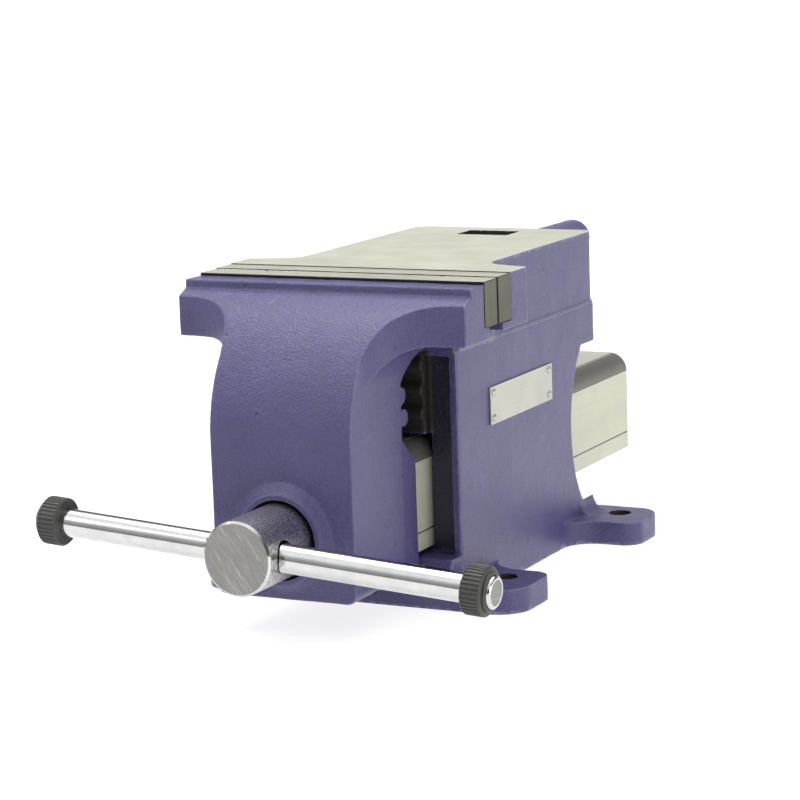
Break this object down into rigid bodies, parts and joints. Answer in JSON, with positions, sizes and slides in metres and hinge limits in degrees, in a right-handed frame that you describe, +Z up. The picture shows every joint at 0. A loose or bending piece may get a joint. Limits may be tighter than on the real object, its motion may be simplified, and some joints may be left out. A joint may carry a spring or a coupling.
{
  "type": "bench vise",
  "caption": "Stationary-base bench vise with wide flat jaws, cast-in pipe jaws, anvil flat with a tool hole, boxed slide bar and a sliding T-handle.",
  "frame": {"origin": "on the bench surface, in the middle of the jaws, below the fixed jaw's gripping face", "axes": "+X along the jaws to the right as seen from the handle, +Y from the handle to the back of the vise, +Z up"},
  "size_m": [0.2348, 0.3954, 0.16],
  "materials": {
    "cast_paint": "semi-gloss enamel over sand-cast iron, top faces ground bare",
    "jaw_steel": "ground",
    "bar_steel": "machined",
    "spindle_steel": "turned, coarse on the head",
    "handle_chrome": "bright plated",
    "ring_rubber": "moulded, ribbed",
    "plate_aluminium": "satin, blank",
    "black_screws": "black oxide",
    "zinc_hardware": "zinc plated",
    "bronze": "cast and bored bronze"
  },
  "bodies": {
    "base": {"fixed_body": "cast_paint", "fixed_jaw_plate": "jaw_steel", "fixed_jaw_screws": "black_screws", "spindle_nut": "bronze", "nut_bolts": "zinc_hardware", "nut_washers": "zinc_hardware", "nameplate": "plate_aluminium", "nameplate_rivets": "plate_aluminium"},
    "front": {"moving_jaw": "cast_paint", "moving_jaw_plate": "jaw_steel", "moving_jaw_screws": "black_screws", "slide_bar": "bar_steel", "bar_screws": "black_screws", "spindle_bush": "bronze", "thrust_washer": "zinc_hardware", "disc_springs": "zinc_hardware"},
    "screw": {"spindle": "spindle_steel", "spindle_collar": "zinc_hardware", "collar_pin": "zinc_hardware"},
    "handle": {"handle_rod": "handle_chrome", "handle_ring_left": "ring_rubber", "handle_ring_right": "ring_rubber", "handle_cap_left": "handle_chrome", "handle_cap_right": "handle_chrome"}
  },
  "joints": [
    {"name": "jaw_slide", "type": "slide", "parent": "base", "child": "front", "axis": [0, -1, 0], "range_m": [0, 0.15]},
    {"name": "spindle_turn", "type": "hinge", "parent": "front", "child": "screw", "pos_m": [0, -0.107, 0.0465], "axis": [0, -1, 0], "range_deg": [0, 10800]},
    {"name": "handle_slide", "type": "slide", "parent": "screw", "child": "handle", "axis": [0.9976, 0, -0.0698], "range_m": [-0.0908, 0.0817]}
  ],
  "couplings": [
    {"joint": "spindle_turn", "follows": "jaw_slide", "rad_per_m": 1256.6}
  ]
}
